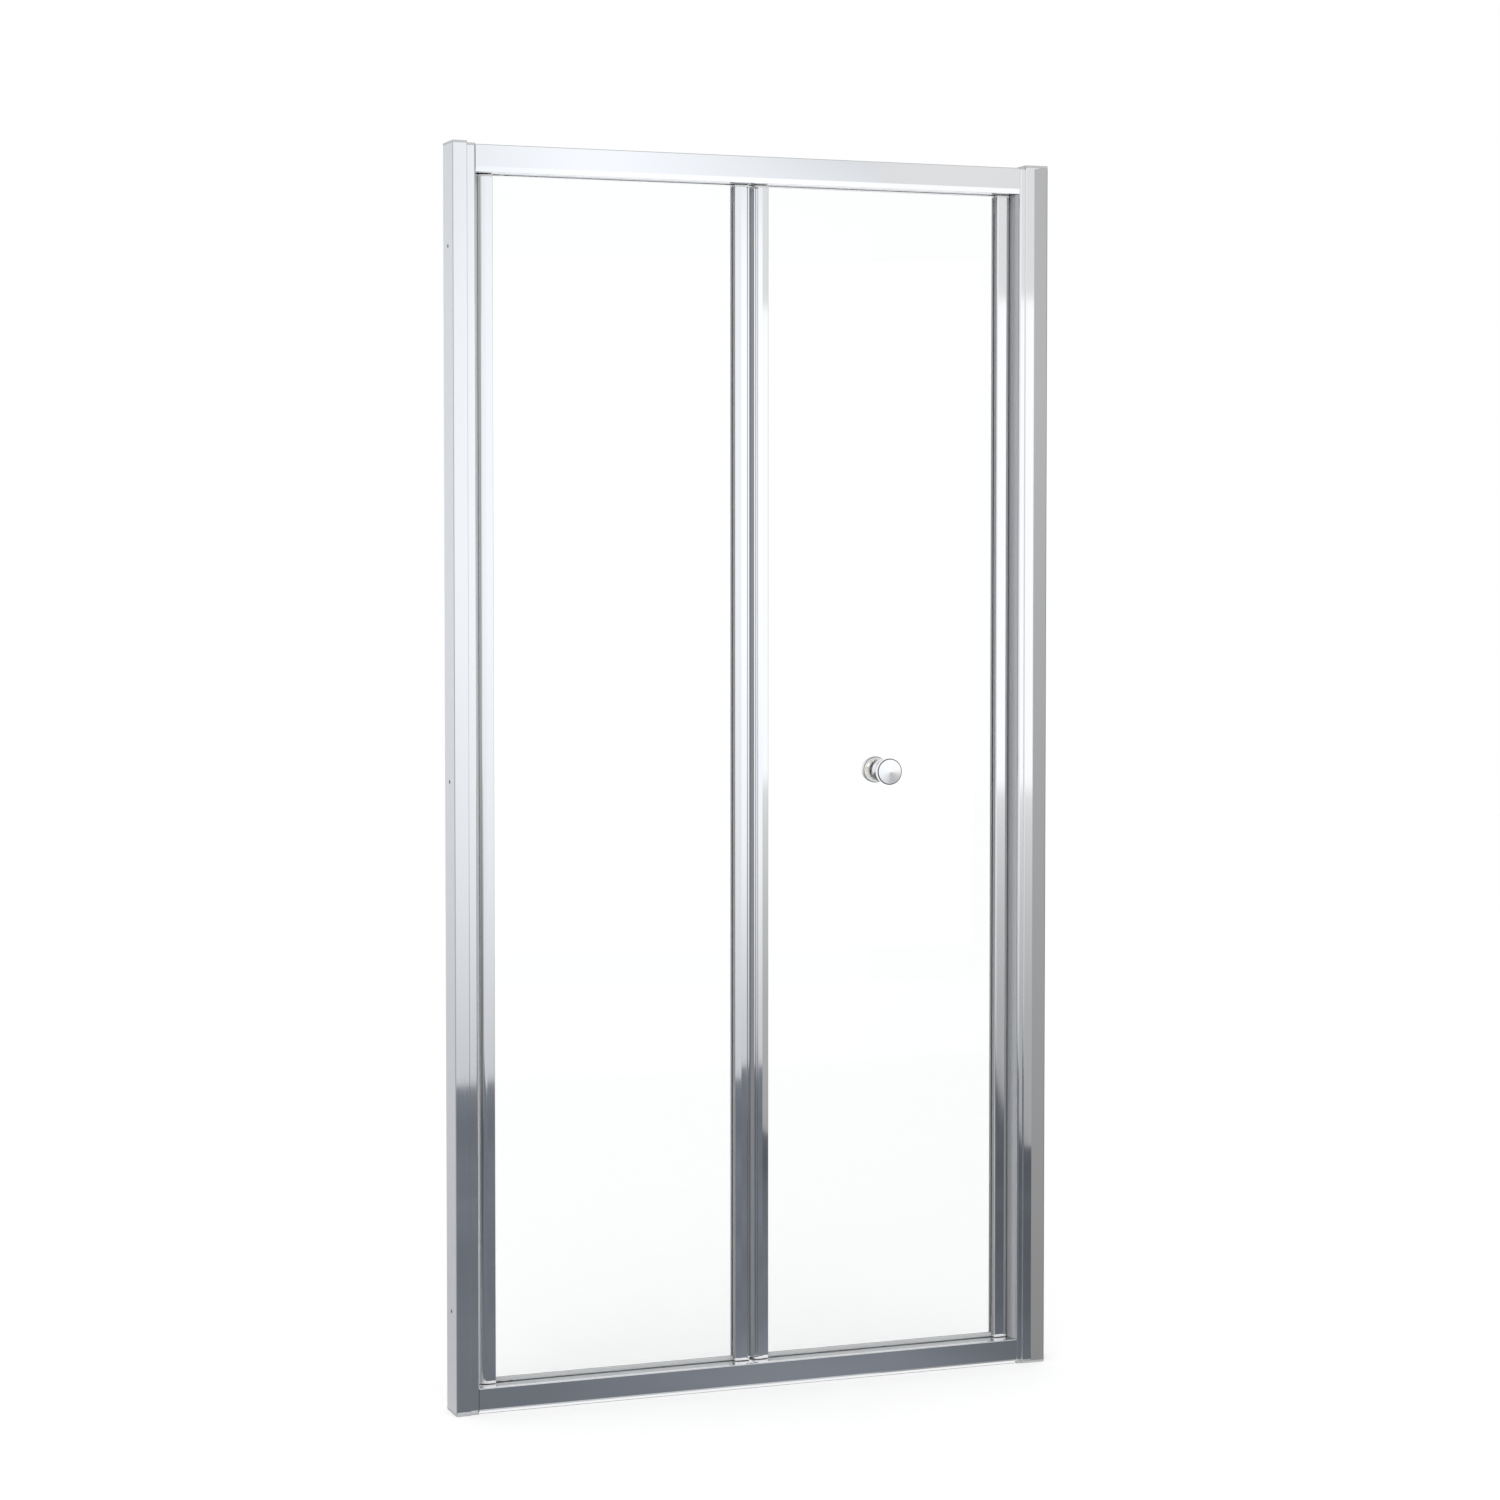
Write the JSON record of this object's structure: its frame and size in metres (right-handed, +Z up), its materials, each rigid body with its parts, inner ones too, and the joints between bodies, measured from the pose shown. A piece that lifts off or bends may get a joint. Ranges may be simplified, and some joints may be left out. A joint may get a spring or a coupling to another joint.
{
  "type": "bifold shower door",
  "caption": "Framed bifold shower door: clear glass leaves that fold inwards on a pivot, a centre hinge and guide rollers, with back to back knobs.",
  "frame": {"origin": "on the shower tray, at the middle of the opening, in the plane of the closed leaves", "axes": "+X along the opening from the pivot side to the closing side, +Y into the shower, +Z up"},
  "size_m": [0.945, 0.07, 1.85],
  "materials": {
    "polished_profile": "bright polished aluminium that looks like chrome",
    "glass": "clear toughened glass",
    "knob_chrome": "turned and chromed",
    "steel": "stainless steel",
    "nylon": "moulded nylon",
    "grey_seal": "satin flexible plastic",
    "clear_seal": "clear flexible plastic",
    "cap_plastic": "white moulded plastic",
    "magnet": "bonded magnet strip"
  },
  "bodies": {
    "frame": {"wall_profile_left": "polished_profile", "wall_profile_right": "polished_profile", "wall_profile_caps": "cap_plastic", "jamb_profile_left": "polished_profile", "jamb_profile_right": "polished_profile", "jamb_caps": "cap_plastic", "jamb_lock_screws": "steel", "screw_cover_caps": "cap_plastic", "top_rail": "polished_profile", "bottom_rail": "polished_profile", "top_rail_screws": "steel", "bottom_rail_screws": "steel", "top_pivot_block": "nylon", "bottom_pivot_block": "nylon", "pivot_block_screws": "steel", "pivot_washers": "nylon", "pivot_jamb_seal": "grey_seal", "strike_seal": "grey_seal", "strike_magnet": "magnet", "guide_stops": "nylon"},
    "leaf_1": {"leaf_1_glass": "glass", "leaf_1_pivot_stile": "polished_profile", "leaf_1_hinge_stile": "polished_profile", "leaf_1_glazing_gaskets": "grey_seal", "leaf_1_pivot_end_blocks": "cap_plastic", "leaf_1_hinge_end_blocks": "cap_plastic", "leaf_1_pivot_pins": "steel", "leaf_1_bottom_seal": "clear_seal", "leaf_1_block_screws": "steel"},
    "hinge_link": {"hinge_link_profile": "polished_profile", "hinge_gap_seal": "grey_seal", "hinge_washers": "nylon"},
    "leaf_2": {"leaf_2_glass": "glass", "leaf_2_hinge_stile": "polished_profile", "leaf_2_closing_stile": "polished_profile", "leaf_2_glazing_gaskets": "grey_seal", "leaf_2_hinge_end_blocks": "cap_plastic", "leaf_2_guide_end_blocks": "cap_plastic", "leaf_2_guide_pins": "steel", "leaf_2_bottom_seal": "clear_seal", "leaf_2_block_screws": "steel", "leaf_2_magnet": "magnet", "knob_outer": "knob_chrome", "knob_inner": "knob_chrome", "knob_stud": "steel", "knob_washers": "nylon", "roller_clips": "steel"},
    "top_roller": {"top_roller": "nylon"},
    "bottom_roller": {"bottom_roller": "nylon"}
  },
  "joints": [
    {"name": "leaf_1_pivot", "type": "hinge", "parent": "frame", "child": "leaf_1", "pos_m": [-0.4175, 0, 0.041], "axis": [0, 0, 1], "range_deg": [0, 85]},
    {"name": "hinge_link_turn", "type": "hinge", "parent": "leaf_1", "child": "hinge_link", "pos_m": [-0.01135, -0.0078, 0.041], "axis": [0, 0, 1], "range_deg": [-85, 0]},
    {"name": "leaf_2_turn", "type": "hinge", "parent": "hinge_link", "child": "leaf_2", "pos_m": [0.00455, -0.0078, 0.041], "axis": [0, 0, 1], "range_deg": [-85, 0]},
    {"name": "top_roller_spin", "type": "hinge", "parent": "leaf_2", "child": "top_roller", "pos_m": [0.4107, 0, 1.813], "axis": [0, 0, 1], "continuous": true},
    {"name": "bottom_roller_spin", "type": "hinge", "parent": "leaf_2", "child": "bottom_roller", "pos_m": [0.4107, 0, 0.031], "axis": [0, 0, 1], "continuous": true}
  ],
  "couplings": [
    {"joint": "hinge_link_turn", "follows": "leaf_1_pivot", "ratio": -1},
    {"joint": "leaf_2_turn", "follows": "leaf_1_pivot", "ratio": -1}
  ]
}
